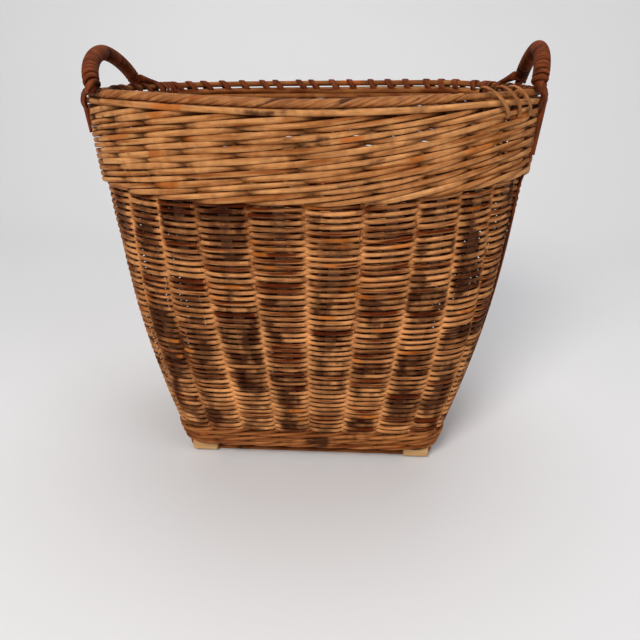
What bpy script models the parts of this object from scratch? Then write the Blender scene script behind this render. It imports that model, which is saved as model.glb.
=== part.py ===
"""Oval gathering basket of split cane on a squared base, with two arched handles fixed to its rim.

Metres, +Z up. The origin is on the floor under the middle of the basket, +X runs towards one handle
and +Y towards the back. Every ring of the basket is a plan outline between a rectangle with round
corners, at the base, and an oval, at the mouth.
"""

import math

import bmesh
import bpy
from mathutils import Vector

# Clearances
GAP = 0.0003
STAKE_GAP = 0.0006
RIM_END_GAP = 0.0009

# The basket's outer form, measured on the outside of the woven wall
BASE_HALF_WIDTH = 0.110
BASE_HALF_DEPTH = 0.086
MOUTH_HALF_WIDTH = 0.1795
MOUTH_HALF_DEPTH = 0.150
RIM_HEIGHT = 0.3000
BASE_SQUARENESS_SHARE = 9.0
MOUTH_SQUARENESS_SHARE = 2.3
FLARE_SHARE = 1.33
STAKES = 28
RING_STEPS = 2 * STAKES
BORDER_SAMPLES = 720

# Base
RUNNER_THICKNESS = 0.003
RUNNER_WIDTH = 0.011
FOOT_SIZE = 0.022
FOOT_HEIGHT = 0.010
FOOT_SETBACK = 0.005
FOOT_EDGE_ROUND = 0.0015
PANEL_THICKNESS = 0.004
BORDER_HEIGHT = 0.0055
BORDER_STAND_OUT = 0.0022
UPSET_COURSES = 2
UPSET_HEIGHT = 0.005
UPSET_STAND_OUT = 0.0012

# Wall
WALL_THICKNESS = 0.0030
WALL_STAGES = 3
STAGE_LEVELS = 3
BAND_LEVELS = 2
STAKE_WIDTH = 0.008
STAKE_THICKNESS = 0.0018

# Band of split rods under the rim
BAND_COURSES = 7
BAND_COURSE_HEIGHT = 0.0078
BAND_STAND_OUT = 0.0028
BAND_EDGE_DROP = 0.0014

# Rim
HOOP_HEIGHT = 0.0060
HOOP_STAND_OUT = 0.0026
HOOP_EDGE_DROP = 0.0012
INNER_HOOP_HEIGHT = 0.0070
INNER_HOOP_THICKNESS = 0.0050
ROPE_RADIUS = 0.0034
ROD_RADIUS = 0.0030
ROPE_START_DEG = 199.0
ROPE_END_DEG = 319.0
ROPE_POINTS = 22
ROD_POINTS = 36

# Handles
HANDLE_RADIUS = 0.0036
HANDLE_HALF_SPAN_DEG = 26.0
HANDLE_LINE = -0.0004
HANDLE_FOOT_RISE = 0.0130
HANDLE_RISE = 0.0220
HANDLE_SQUARENESS_SHARE = 1.1
HANDLE_TOP_SETBACK = 0.0073
HANDLE_ARCH_POINTS = 18
LEG_RADIUS = 0.0018
LEG_LENGTH = 0.030
LEG_TIP_RADIUS = 0.0011
LEG_POINTS = 4
LEG_STRAIGHT_RISE = 0.0035
LEG_BEND_POINTS = 3
WRAP_RADIUS = 0.0009
WRAP_LOOPS = 9
WRAP_POINTS_PER_LOOP = 22
WRAP_LIFT = 0.0020
LASHING_THICKNESS = 0.0016
LASHING_HEIGHT = 0.011
LASHING_DROP = 0.0015
LASHING_ARC_STEPS = 8
LASHING_TURN_DEG = 3.5

# Sizes that follow from the ones above
PANEL_BOTTOM = RUNNER_THICKNESS + GAP + FOOT_HEIGHT + GAP
BORDER_TOP = PANEL_BOTTOM + BORDER_HEIGHT
UPSET_TOP = BORDER_TOP + UPSET_COURSES * (UPSET_HEIGHT + GAP)
HOOP_BOTTOM = RIM_HEIGHT - HOOP_HEIGHT
BAND_BOTTOM = HOOP_BOTTOM - BAND_COURSES * (BAND_COURSE_HEIGHT + GAP)
WALL_BOTTOM = UPSET_TOP + GAP
WALL_TOP = BAND_BOTTOM - GAP
STAKE_OUTSIDE = -WALL_THICKNESS - STAKE_GAP
STAKE_INSIDE = STAKE_OUTSIDE - STAKE_THICKNESS
STAKE_BOTTOM = PANEL_BOTTOM + PANEL_THICKNESS + GAP
STAKE_TOP = RIM_HEIGHT
INNER_HOOP_OUTSIDE = STAKE_INSIDE - STAKE_GAP
RIM_ROD_LINE = -WALL_THICKNESS
LEG_LINE = HOOP_STAND_OUT + GAP + LEG_RADIUS


def clear_scene():
    for thing in list(bpy.data.objects):
        bpy.data.objects.remove(thing, do_unlink=True)


def finish(name, colour, roughness):
    material = bpy.data.materials.new(name)
    material.use_nodes = True
    shader = material.node_tree.nodes["Principled BSDF"]
    shader.inputs["Base Color"].default_value = (*colour, 1.0)
    shader.inputs["Roughness"].default_value = roughness
    shader.inputs["Metallic"].default_value = 0.0
    return material


def add_object(name, data, material):
    data.materials.append(material)
    piece = bpy.data.objects.new(name, data)
    bpy.context.scene.collection.objects.link(piece)
    return piece


def mesh_object(name, shape, material, smooth=True):
    bmesh.ops.recalc_face_normals(shape, faces=shape.faces)
    mesh = bpy.data.meshes.new(name)
    shape.to_mesh(mesh)
    shape.free()
    if smooth:
        mesh.shade_smooth()
        mesh.set_sharp_from_angle(angle=math.radians(40.0))
    return add_object(name, mesh, material)


def outline_point(angle, height, offset):
    """A point on the basket's outline at this height, moved out by the offset."""
    rise = min(max(height / RIM_HEIGHT, 0.0), 1.0)
    flare = 1.0 - (1.0 - rise) ** FLARE_SHARE
    half_width = BASE_HALF_WIDTH + (MOUTH_HALF_WIDTH - BASE_HALF_WIDTH) * flare
    half_depth = BASE_HALF_DEPTH + (MOUTH_HALF_DEPTH - BASE_HALF_DEPTH) * flare
    squareness_step = BASE_SQUARENESS_SHARE - MOUTH_SQUARENESS_SHARE
    power = MOUTH_SQUARENESS_SHARE + squareness_step * (1.0 - rise) ** 2
    across, along = math.cos(angle), math.sin(angle)
    reach = (abs(across) ** power + abs(along) ** power) ** (-1.0 / power)
    return Vector(((half_width + offset) * reach * across, (half_depth + offset) * reach * along, height))


def lengths_along(points):
    """The length from the first point to each of the others."""
    lengths = [0.0]
    for before, after in zip(points, points[1:]):
        lengths.append(lengths[-1] + (after - before).length)
    return lengths


def turn_at(length, turns, lengths):
    for index in range(1, len(lengths)):
        if lengths[index] >= length:
            share = (length - lengths[index - 1]) / (lengths[index] - lengths[index - 1])
            return turns[index - 1] + (turns[index] - turns[index - 1]) * share
    return turns[-1]


def even_angles():
    """Angles of the rings' points, which stand evenly along the border of the base."""
    turns = [2.0 * math.pi * sample / BORDER_SAMPLES for sample in range(BORDER_SAMPLES + 1)]
    lengths = lengths_along([outline_point(turn, PANEL_BOTTOM, 0.0) for turn in turns])
    return [turn_at(lengths[-1] * (step + 0.5) / RING_STEPS, turns, lengths) for step in range(RING_STEPS)]


RING_ANGLES = even_angles()


def ring(name, section, material):
    """A closed ring round the basket. Its section is a list of (offset, height)."""
    shape = bmesh.new()
    loops = [
        [shape.verts.new(outline_point(angle, height, offset)) for angle in RING_ANGLES]
        for offset, height in section
    ]
    for loop, after in zip(loops, loops[1:] + loops[:1]):
        for step in range(RING_STEPS):
            nearby = (step + 1) % RING_STEPS
            shape.faces.new((loop[step], loop[nearby], after[nearby], after[step]))
    return mesh_object(name, shape, material)


def rod_section(bottom, top, inside, edge, crown):
    """A ring's section that is flat inside and comes to a round crown outside."""
    return [(inside, bottom), (edge, bottom), (crown, (bottom + top) / 2.0), (edge, top), (inside, top)]


def tube(name, points, radius, material, tip_radii=None, resolution=1):
    curve = bpy.data.curves.new(name, "CURVE")
    curve.dimensions = "3D"
    curve.bevel_depth = radius
    curve.bevel_resolution = resolution
    curve.use_fill_caps = True
    spline = curve.splines.new("POLY")
    spline.points.add(len(points) - 1)
    for index, point in enumerate(points):
        spline.points[index].co = (*point, 1.0)
        if tip_radii:
            spline.points[index].radius = tip_radii[index] / radius
    return add_object(name, curve, material)


def base_panel(material):
    """The woven floor of the basket, inside its border."""
    shape = bmesh.new()
    offset = -WALL_THICKNESS - GAP
    faces = []
    for height in (PANEL_BOTTOM, PANEL_BOTTOM + PANEL_THICKNESS):
        corners = []
        for angle in RING_ANGLES:
            point = outline_point(angle, PANEL_BOTTOM, offset)
            corners.append(shape.verts.new((point.x, point.y, height)))
        faces.append(corners)
    for step in range(RING_STEPS):
        nearby = (step + 1) % RING_STEPS
        shape.faces.new((faces[0][step], faces[0][nearby], faces[1][nearby], faces[1][step]))
    for corners in faces:
        shape.faces.new(corners)
    return mesh_object("base_panel", shape, material)


def stage_heights(stage):
    """The levels of one stage of the fine wall, from its first row to its last."""
    stage_height = (WALL_TOP - WALL_BOTTOM - (WALL_STAGES - 1) * GAP) / WALL_STAGES
    bottom = WALL_BOTTOM + stage * (stage_height + GAP)
    return [bottom + stage_height * level / STAGE_LEVELS for level in range(STAGE_LEVELS + 1)]


def body_weave(stage, material):
    """One stage of the fine woven wall, woven on top of the one below, open at its top and its bottom."""
    heights = stage_heights(stage)
    outside = [(0.0, height) for height in heights]
    inside = [(-WALL_THICKNESS, height) for height in reversed(heights)]
    return ring(f"body_weave_{stage + 1}", outside + inside, material)


def stake(index, material):
    """A flat upright behind one flat of the wall, from the floor panel to the rim."""
    shape = bmesh.new()
    before, after = RING_ANGLES[2 * index], RING_ANGLES[2 * index + 1]
    heights = [STAKE_BOTTOM]
    for stage in range(WALL_STAGES):
        heights += stage_heights(stage)
    heights += [BAND_BOTTOM + (STAKE_TOP - BAND_BOTTOM) * level / BAND_LEVELS for level in range(1, BAND_LEVELS + 1)]
    rows = []
    for height in heights:
        row = []
        for offset in (STAKE_OUTSIDE, STAKE_INSIDE):
            left = outline_point(before, height, offset)
            right = outline_point(after, height, offset)
            middle = (left + right) / 2.0
            side = (right - left).normalized() * (STAKE_WIDTH / 2.0)
            row += [middle - side, middle + side]
        rows.append([shape.verts.new(point) for point in (row[0], row[1], row[3], row[2])])
    for row, above in zip(rows, rows[1:]):
        for corner in range(4):
            nearby = (corner + 1) % 4
            shape.faces.new((row[corner], row[nearby], above[nearby], above[corner]))
    shape.faces.new(rows[0])
    shape.faces.new(rows[-1])
    return mesh_object(f"stake_{index + 1:02d}", shape, material, smooth=False)


def foot_middle():
    return (
        BASE_HALF_WIDTH - FOOT_SETBACK - FOOT_SIZE / 2.0,
        BASE_HALF_DEPTH - FOOT_SETBACK - FOOT_SIZE / 2.0,
    )


def foot(name, side, end, material):
    """A wooden block at one corner, between the runner and the border."""
    across, along = foot_middle()
    shape = bmesh.new()
    bmesh.ops.create_cube(shape, size=1.0)
    bmesh.ops.scale(shape, vec=(FOOT_SIZE, FOOT_SIZE, FOOT_HEIGHT), verts=shape.verts)
    upright = [edge for edge in shape.edges if abs(edge.verts[0].co.z - edge.verts[1].co.z) > GAP]
    bmesh.ops.bevel(shape, geom=upright, offset=FOOT_EDGE_ROUND, segments=2, affect="EDGES", profile=0.5)
    piece = mesh_object(name, shape, material)
    piece.location = (side * across, end * along, RUNNER_THICKNESS + GAP + FOOT_HEIGHT / 2.0)
    return piece


def runner(name, end, material):
    """A bent cane strip under two feet, turned up outside each of them."""
    across, along = foot_middle()
    inside = across + FOOT_SIZE / 2.0 + GAP
    outside = inside + RUNNER_THICKNESS
    top = RUNNER_THICKNESS + GAP + FOOT_HEIGHT
    outline = [(-outside, 0.0), (outside, 0.0), (outside, top), (inside, top)]
    outline += [(inside, RUNNER_THICKNESS), (-inside, RUNNER_THICKNESS), (-inside, top), (-outside, top)]
    shape = bmesh.new()
    corners = [shape.verts.new((x, -RUNNER_WIDTH / 2.0, z)) for x, z in outline]
    face = shape.faces.new(corners)
    extruded = bmesh.ops.extrude_face_region(shape, geom=[face])
    moved = [item for item in extruded["geom"] if isinstance(item, bmesh.types.BMVert)]
    bmesh.ops.translate(shape, vec=(0.0, RUNNER_WIDTH, 0.0), verts=moved)
    piece = mesh_object(name, shape, material, smooth=False)
    piece.location = (0.0, end * along, 0.0)
    return piece


def rim_points(start_deg, end_deg, count, radius):
    height = RIM_HEIGHT + GAP + radius
    points = []
    for index in range(count):
        angle = math.radians(start_deg + (end_deg - start_deg) * index / (count - 1))
        point = outline_point(angle, RIM_HEIGHT, RIM_ROD_LINE)
        points.append((point.x, point.y, height))
    return points


def rim_pieces(rope, rod, hoop):
    ring("rim_hoop_outer", rod_section(HOOP_BOTTOM, RIM_HEIGHT, -WALL_THICKNESS,
                                       HOOP_STAND_OUT - HOOP_EDGE_DROP, HOOP_STAND_OUT), hoop)
    inner_bottom = RIM_HEIGHT - INNER_HOOP_HEIGHT
    inside = INNER_HOOP_OUTSIDE - INNER_HOOP_THICKNESS
    ring("rim_hoop_inner", [(INNER_HOOP_OUTSIDE, inner_bottom), (INNER_HOOP_OUTSIDE, RIM_HEIGHT),
                            (inside, RIM_HEIGHT), (inside, inner_bottom)], hoop)
    tube("rim_rope", rim_points(ROPE_START_DEG, ROPE_END_DEG, ROPE_POINTS, ROPE_RADIUS), ROPE_RADIUS, rope)
    gap_deg = math.degrees(RIM_END_GAP / MOUTH_HALF_DEPTH)
    tube("rim_rod", rim_points(ROPE_END_DEG + gap_deg, ROPE_START_DEG + 360.0 - gap_deg, ROD_POINTS,
                               ROD_RADIUS), ROD_RADIUS, rod)


def leg_angle(side, end):
    """The leg's place on the basket's outline: side is +1 or -1 along X, end along Y."""
    half_span = math.radians(HANDLE_HALF_SPAN_DEG)
    return half_span * end if side > 0 else math.pi - half_span * end


def arch_point(side, turn):
    """The arch's middle line over the rim. Turn runs from 0 at the back leg to pi at the front leg."""
    leg = outline_point(leg_angle(side, 1), RIM_HEIGHT, HANDLE_LINE)
    middle = outline_point(leg_angle(side, 0), RIM_HEIGHT, HANDLE_LINE)
    across = math.cos(turn)
    rise = max(math.sin(turn), 0.0) ** HANDLE_SQUARENESS_SHARE
    along = math.copysign(abs(across) ** HANDLE_SQUARENESS_SHARE, across)
    reach = leg.x + (middle.x - side * HANDLE_TOP_SETBACK - leg.x) * rise
    return Vector((reach, leg.y * along, RIM_HEIGHT + HANDLE_FOOT_RISE + HANDLE_RISE * rise))


def leg_points(side, end):
    """Points and radii of one leg, from just under the arch, over the rim and down outside the band."""
    angle = leg_angle(side, end)
    points, radii = [], []
    for step in range(LEG_BEND_POINTS, -1, -1):
        share = step / (LEG_BEND_POINTS + 1)
        height = RIM_HEIGHT + LEG_STRAIGHT_RISE + (HANDLE_FOOT_RISE - LEG_STRAIGHT_RISE) * share
        eased = share * share * (3.0 - 2.0 * share)
        point = outline_point(angle, RIM_HEIGHT, LEG_LINE + (HANDLE_LINE - LEG_LINE) * eased)
        points.append(Vector((point.x, point.y, height)))
        radii.append(LEG_RADIUS + (HANDLE_RADIUS - LEG_RADIUS) * eased)
    for step in range(LEG_POINTS + 1):
        share = step / LEG_POINTS
        radius = LEG_RADIUS + (LEG_TIP_RADIUS - LEG_RADIUS) * share
        points.append(outline_point(angle, RIM_HEIGHT - LEG_LENGTH * share, LEG_LINE))
        radii.append(radius)
    return points, radii


def handle_line(side):
    """Points and radii from the back leg's tip, over the arch, to the front leg's tip."""
    back, back_radii = leg_points(side, 1)
    front, front_radii = leg_points(side, -1)
    arch = [arch_point(side, math.pi * step / HANDLE_ARCH_POINTS) for step in range(HANDLE_ARCH_POINTS + 1)]
    points = back[::-1] + arch + front
    radii = back_radii[::-1] + [HANDLE_RADIUS] * len(arch) + front_radii
    return points, radii


def arch_length_table(side, samples=200):
    turns = [math.pi * step / samples for step in range(samples + 1)]
    return turns, lengths_along([arch_point(side, turn) for turn in turns])


def wrap_points(side):
    """The cane's middle line, wound round the handle in even turns."""
    turns, lengths = arch_length_table(side)
    start, stop = WRAP_LIFT, lengths[-1] - WRAP_LIFT
    count = WRAP_LOOPS * WRAP_POINTS_PER_LOOP
    around = HANDLE_RADIUS + GAP + WRAP_RADIUS
    nudge = math.pi / count
    points = []
    for index in range(count + 1):
        turn = turn_at(start + (stop - start) * index / count, turns, lengths)
        middle = arch_point(side, turn)
        tangent = (arch_point(side, turn + nudge) - arch_point(side, turn - nudge)).normalized()
        outward = Vector((side, 0.0, 0.0))
        outward = (outward - tangent * outward.dot(tangent)).normalized()
        upward = tangent.cross(outward)
        phase = 2.0 * math.pi * index / WRAP_POINTS_PER_LOOP
        points.append(middle + (outward * math.cos(phase) + upward * math.sin(phase)) * around)
    return points


def least_gap(points, radius):
    """The least gap of a winding to itself, between points at least half a loop apart."""
    apart = WRAP_POINTS_PER_LOOP // 2
    least = min(
        (points[first] - points[second]).length
        for first in range(len(points))
        for second in range(first + apart, len(points))
    )
    return least - 2.0 * radius


def lashing(name, side, end, material):
    """A strap of cane round the outside of one leg, its ends against the rim."""
    angle = leg_angle(side, end)
    top = RIM_HEIGHT - LASHING_DROP
    bottom = top - LASHING_HEIGHT
    inner = LEG_RADIUS + GAP
    outer = inner + LASHING_THICKNESS
    back = -LEG_RADIUS
    plan = [(-outer, back)]
    plan += [(-outer * math.cos(math.pi * step / LASHING_ARC_STEPS),
              outer * math.sin(math.pi * step / LASHING_ARC_STEPS)) for step in range(LASHING_ARC_STEPS + 1)]
    plan += [(outer, back), (inner, back)]
    plan += [(inner * math.cos(math.pi * step / LASHING_ARC_STEPS),
              inner * math.sin(math.pi * step / LASHING_ARC_STEPS)) for step in range(LASHING_ARC_STEPS + 1)]
    plan += [(-inner, back)]
    near = outline_point(angle - math.radians(LASHING_TURN_DEG), RIM_HEIGHT, HOOP_STAND_OUT)
    far = outline_point(angle + math.radians(LASHING_TURN_DEG), RIM_HEIGHT, HOOP_STAND_OUT)
    sideways = (far - near).normalized()
    outward = sideways.cross(Vector((0.0, 0.0, 1.0)))
    shape = bmesh.new()
    loops = []
    for height in (bottom, top):
        centre = outline_point(angle, height, LEG_LINE)
        loops.append([shape.verts.new(centre + sideways * across + outward * away) for across, away in plan])
    for index in range(len(plan)):
        nearby = (index + 1) % len(plan)
        shape.faces.new((loops[0][index], loops[0][nearby], loops[1][nearby], loops[1][index]))
    for loop in loops:
        shape.faces.new(loop)
    return mesh_object(name, shape, material)


def build():
    clear_scene()
    dark_cane = finish("dark_cane", (0.16, 0.055, 0.025), 0.45)
    brown_weave = finish("brown_weave", (0.30, 0.14, 0.055), 0.50)
    golden_rod = finish("golden_rod", (0.62, 0.37, 0.16), 0.50)
    stake_cane = finish("stake_cane", (0.42, 0.24, 0.10), 0.55)
    rim_brown = finish("rim_brown", (0.40, 0.20, 0.085), 0.50)
    rope_cane = finish("rope_cane", (0.52, 0.28, 0.12), 0.50)
    foot_wood = finish("foot_wood", (0.58, 0.36, 0.18), 0.60)

    base_panel(brown_weave)
    ring("base_border", rod_section(PANEL_BOTTOM, BORDER_TOP, -WALL_THICKNESS, 0.0, BORDER_STAND_OUT), rim_brown)
    for course in range(UPSET_COURSES):
        bottom = BORDER_TOP + GAP + course * (UPSET_HEIGHT + GAP)
        ring(f"upset_course_{course + 1}",
             rod_section(bottom, bottom + UPSET_HEIGHT, -WALL_THICKNESS, 0.0, UPSET_STAND_OUT), rim_brown)
    for stage in range(WALL_STAGES):
        body_weave(stage, brown_weave)
    for index in range(STAKES):
        stake(index, stake_cane)
    for course in range(BAND_COURSES):
        bottom = BAND_BOTTOM + course * (BAND_COURSE_HEIGHT + GAP)
        ring(f"band_course_{course + 1}",
             rod_section(bottom, bottom + BAND_COURSE_HEIGHT, -WALL_THICKNESS,
                         BAND_STAND_OUT - BAND_EDGE_DROP, BAND_STAND_OUT), golden_rod)
    rim_pieces(rope_cane, rim_brown, golden_rod)

    for end, end_name in ((-1, "front"), (1, "back")):
        runner(f"runner_{end_name}", end, dark_cane)
        for side, side_name in ((-1, "left"), (1, "right")):
            foot(f"foot_{end_name}_{side_name}", side, end, foot_wood)
            lashing(f"leg_lashing_{end_name}_{side_name}", side, end, dark_cane)
    for side, side_name in ((-1, "left"), (1, "right")):
        points, radii = handle_line(side)
        tube(f"handle_core_{side_name}", points, HANDLE_RADIUS, dark_cane, tip_radii=radii, resolution=2)
        winding = wrap_points(side)
        tube(f"handle_wrap_{side_name}", winding, WRAP_RADIUS, dark_cane)
        print(f"handle_wrap_{side_name} least gap to itself: {least_gap(winding, WRAP_RADIUS):.5f} m")


build()
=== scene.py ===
import math
import random

import bmesh
import bpy
import numpy as np
from mathutils import Euler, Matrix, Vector


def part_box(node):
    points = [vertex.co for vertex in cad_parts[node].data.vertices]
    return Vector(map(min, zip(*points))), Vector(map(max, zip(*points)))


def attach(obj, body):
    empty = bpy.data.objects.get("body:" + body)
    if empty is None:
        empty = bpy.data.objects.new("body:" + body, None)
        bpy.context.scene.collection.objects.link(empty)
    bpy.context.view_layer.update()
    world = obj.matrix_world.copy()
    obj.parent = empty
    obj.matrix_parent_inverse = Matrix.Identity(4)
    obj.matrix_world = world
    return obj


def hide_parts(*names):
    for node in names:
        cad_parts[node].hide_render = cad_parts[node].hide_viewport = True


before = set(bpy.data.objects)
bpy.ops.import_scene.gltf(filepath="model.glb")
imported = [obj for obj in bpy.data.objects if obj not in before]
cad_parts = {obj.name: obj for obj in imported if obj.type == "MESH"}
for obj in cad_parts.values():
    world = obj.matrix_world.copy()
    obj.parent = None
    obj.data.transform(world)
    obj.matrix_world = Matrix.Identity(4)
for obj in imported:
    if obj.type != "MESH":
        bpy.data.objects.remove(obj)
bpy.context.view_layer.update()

# The stage: a pale seamless sweep, lit by broad soft lamps and a pale room, and seen from a little above
# the rim by a camera that stands in front of the basket, just right of its middle.
FOCAL_PIXELS = 624.5
PICTURE_PIXELS = 640.0
SENSOR_WIDTH = 36.0
CAMERA_PLACE = (0.0246, -0.5546, 0.321)
CAMERA_TURN = math.radians(2.07)
CAMERA_DOWN = math.radians(21.87)
CAMERA_ROLL = math.radians(0.77)
CAMERA_NEAR = 0.01
SWEEP_HALF_WIDTH = 3.0
SWEEP_FRONT = -2.0
SWEEP_BACK = 1.1
SWEEP_CORNER = 0.5
SWEEP_CORNER_STEPS = 12
SWEEP_TOP = 2.6
PAPER_COLOUR = (0.78, 0.78, 0.79, 1.0)
PAPER_ROUGHNESS = 0.55
ROOM_COLOUR = (0.93, 0.95, 1.0, 1.0)
ROOM_STRENGTH = 0.22

camera_data = bpy.data.cameras.new("camera")
camera_data.sensor_width = SENSOR_WIDTH
camera_data.lens = SENSOR_WIDTH * FOCAL_PIXELS / PICTURE_PIXELS
camera_data.clip_start = CAMERA_NEAR
camera = bpy.data.objects.new("camera", camera_data)
bpy.context.scene.collection.objects.link(camera)
camera.location = CAMERA_PLACE
aim = Euler((0.0, 0.0, CAMERA_TURN)).to_matrix() @ Euler((math.pi / 2.0 - CAMERA_DOWN, 0.0, 0.0)).to_matrix()
camera.rotation_euler = (aim @ Euler((0.0, 0.0, CAMERA_ROLL)).to_matrix()).to_euler()
bpy.context.scene.camera = camera
bpy.context.scene.view_settings.view_transform = "Standard"


def lamp(name, place, target, size, power, colour):
    data = bpy.data.lights.new(name, "AREA")
    data.shape = "DISK"
    data.size = size
    data.energy = power
    data.color = colour
    thing = bpy.data.objects.new(name, data)
    bpy.context.scene.collection.objects.link(thing)
    thing.location = place
    thing.rotation_euler = (Vector(target) - Vector(place)).to_track_quat("-Z", "Y").to_euler()


lamp("key_lamp", place=(-0.6, -1.8, 1.6), target=(0.0, 0.0, 0.15), size=0.9, power=41.0,
     colour=(1.0, 0.97, 0.93))
lamp("fill_lamp", place=(1.4, -1.2, 1.2), target=(0.0, 0.0, 0.15), size=1.5, power=9.0,
     colour=(0.97, 0.98, 1.0))
lamp("top_lamp", place=(0.1, 0.4, 2.2), target=(0.0, 0.0, 0.2), size=1.4, power=11.0,
     colour=(1.0, 1.0, 1.0))

world = bpy.data.worlds.new("room")
bpy.context.scene.world = world
world.use_nodes = True
world.node_tree.nodes["Background"].inputs["Color"].default_value = ROOM_COLOUR
world.node_tree.nodes["Background"].inputs["Strength"].default_value = ROOM_STRENGTH

sweep_shape = bmesh.new()
profile = [(SWEEP_FRONT, 0.0), (SWEEP_BACK - SWEEP_CORNER, 0.0)]
for step in range(1, SWEEP_CORNER_STEPS):
    angle = math.pi / 2.0 * step / SWEEP_CORNER_STEPS
    profile.append((SWEEP_BACK - SWEEP_CORNER + SWEEP_CORNER * math.sin(angle),
                    SWEEP_CORNER - SWEEP_CORNER * math.cos(angle)))
profile += [(SWEEP_BACK, SWEEP_CORNER), (SWEEP_BACK, SWEEP_TOP)]
rows = [[sweep_shape.verts.new((x, y, z)) for y, z in profile] for x in (-SWEEP_HALF_WIDTH, SWEEP_HALF_WIDTH)]
for index in range(len(profile) - 1):
    sweep_shape.faces.new((rows[0][index], rows[1][index], rows[1][index + 1], rows[0][index + 1]))
sweep_mesh = bpy.data.meshes.new("sweep")
sweep_shape.to_mesh(sweep_mesh)
sweep_shape.free()
sweep_mesh.shade_smooth()
sweep = bpy.data.objects.new("sweep", sweep_mesh)
bpy.context.scene.collection.objects.link(sweep)
paper = bpy.data.materials.new("sweep_paper")
paper.use_nodes = True
paper.node_tree.nodes["Principled BSDF"].inputs["Base Color"].default_value = PAPER_COLOUR
paper.node_tree.nodes["Principled BSDF"].inputs["Roughness"].default_value = PAPER_ROUGHNESS
sweep_mesh.materials.append(paper)


# The stakes: twenty eight flat split canes that stand from the floor to the rim, evenly along the base's
# border. Everything else is woven round them. The outline and the cane finishes are set out here.
STAKES = 28
HALF_WIDTH = (0.110, 0.1795)
HALF_DEPTH = (0.086, 0.150)
SQUARENESS = (9.0, 2.3)
FLARE = 1.33
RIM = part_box("rim_hoop_outer")[1].z
STAKE_LINE = -0.0045
MOUTH_LEAN = -0.0024
BORDER_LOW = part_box("base_border")[0].z
BORDER_SAMPLES = 2881
NUDGE = 1e-4
HEIGHT_BLEND_DEG = 7.0
HEIGHT_BLEND_SAMPLES = 9

# Heights in mm, by angle in degrees, of the rim's top and of the lower edge of the rod band. The hand-made
# rim stands highest at the right.
RIM_TOP = ((-180, 304.5), (-130, 306.5), (-90, 303.5), (-68, 306.5), (-48, 310.5), (0, 309.5), (45, 313.0),
           (90, 310.0), (140, 307.0))
BAND_LOW = ((-180, 237.5), (-135, 238.5), (-120, 236.5), (-80, 237.0), (-55, 245.5), (-36, 250.0),
            (45, 243.0), (90, 240.0), (140, 238.0))


def ring_heights(table, angle):
    """A smooth closed curve through a table of heights."""
    blend = np.linspace(-HEIGHT_BLEND_DEG, HEIGHT_BLEND_DEG, HEIGHT_BLEND_SAMPLES)
    degrees = np.degrees(angle)[..., None] + blend
    heights = np.interp(degrees, [row[0] for row in table], [row[1] for row in table], period=360.0)
    return heights.mean(-1) / 1000.0


def squareness(rise):
    """The outline's power at a share of the rim's height. High is nearly a rectangle, two is an ellipse."""
    return SQUARENESS[1] + (SQUARENESS[0] - SQUARENESS[1]) * (1.0 - rise) ** 2


def outline(angle, height):
    """Points on the outside of the wall, one for each angle and height."""
    rise = np.clip(height / RIM, 0.0, 1.0)
    flare = 1.0 - (1.0 - rise) ** FLARE
    half_width = HALF_WIDTH[0] + (HALF_WIDTH[1] - HALF_WIDTH[0]) * flare
    half_depth = HALF_DEPTH[0] + (HALF_DEPTH[1] - HALF_DEPTH[0]) * flare
    power = squareness(rise)
    across, along = np.cos(angle), np.sin(angle)
    reach = (np.abs(across) ** power + np.abs(along) ** power) ** (-1.0 / power)
    sideways = half_width * reach * across + MOUTH_LEAN * rise ** 3
    return np.stack([sideways, half_depth * reach * along, height + 0.0 * angle], -1)


def unit(vectors):
    return vectors / np.linalg.norm(vectors, axis=-1, keepdims=True)


def wall_frame(angle, height):
    """The wall's point, its outward direction and its upward direction."""
    height = height + 0.0 * angle
    sideways = outline(angle + NUDGE, height) - outline(angle - NUDGE, height)
    upward = unit(outline(angle, height + NUDGE) - outline(angle, height - NUDGE))
    return outline(angle, height), unit(np.cross(sideways, upward)), upward


def running_length(line):
    """The length along a line up to each of its points."""
    return np.concatenate([[0.0], np.cumsum(np.linalg.norm(np.diff(line, axis=0), axis=1))])


TURNS = np.linspace(0.0, 2.0 * np.pi, BORDER_SAMPLES)
PLACES = running_length(outline(TURNS, np.full(BORDER_SAMPLES, BORDER_LOW)))
PLACES = PLACES / PLACES[-1] * STAKES - 0.5


def ring_places(per_stake, rounds=1):
    """Places round the basket, counted in stakes: each stake's middle is a whole number."""
    return np.arange(STAKES * per_stake * rounds) / per_stake - 0.5


def angle_at(places):
    """The outline's angle at each place."""
    return np.interp(np.mod(places + 0.5, STAKES) - 0.5, PLACES, TURNS)


def slow_wave(source, size, waves=(2, 3, 5, 7)):
    """A smooth closed wander round the basket, from a few random waves."""
    terms = [(wave, source.uniform(0.0, 2.0 * math.pi), source.uniform(0.3, 1.0) / wave ** 0.5)
             for wave in waves]
    return lambda angle: size * sum(part * np.sin(wave * angle + phase) for wave, phase, part in terms)


# Sockets of shader nodes, by number
ATTRIBUTE_VALUE = 2
OBJECT_PLACE = 3
MIX_SHARE, MIX_FIRST, MIX_SECOND, MIX_RESULT = 0, 6, 7, 2


class Wire:
    """A socket's value. Python's operators on it add Math nodes."""

    def __init__(self, tree, socket):
        self.tree, self.socket = tree, socket

    def maths(self, operation, *values):
        node = self.tree.nodes.new("ShaderNodeMath")
        node.operation = operation
        for socket, value in zip(node.inputs, values):
            plug(self.tree, value, socket)
        return Wire(self.tree, node.outputs[0])

    def __add__(self, other):
        return self.maths("ADD", self, other)

    def __radd__(self, other):
        return self.maths("ADD", other, self)

    def __sub__(self, other):
        return self.maths("SUBTRACT", self, other)

    def __rsub__(self, other):
        return self.maths("SUBTRACT", other, self)

    def __mul__(self, other):
        return self.maths("MULTIPLY", self, other)

    def __rmul__(self, other):
        return self.maths("MULTIPLY", other, self)

    def clamped(self):
        return self.maths("MINIMUM", self.maths("MAXIMUM", self, 0.0), 1.0)


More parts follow.
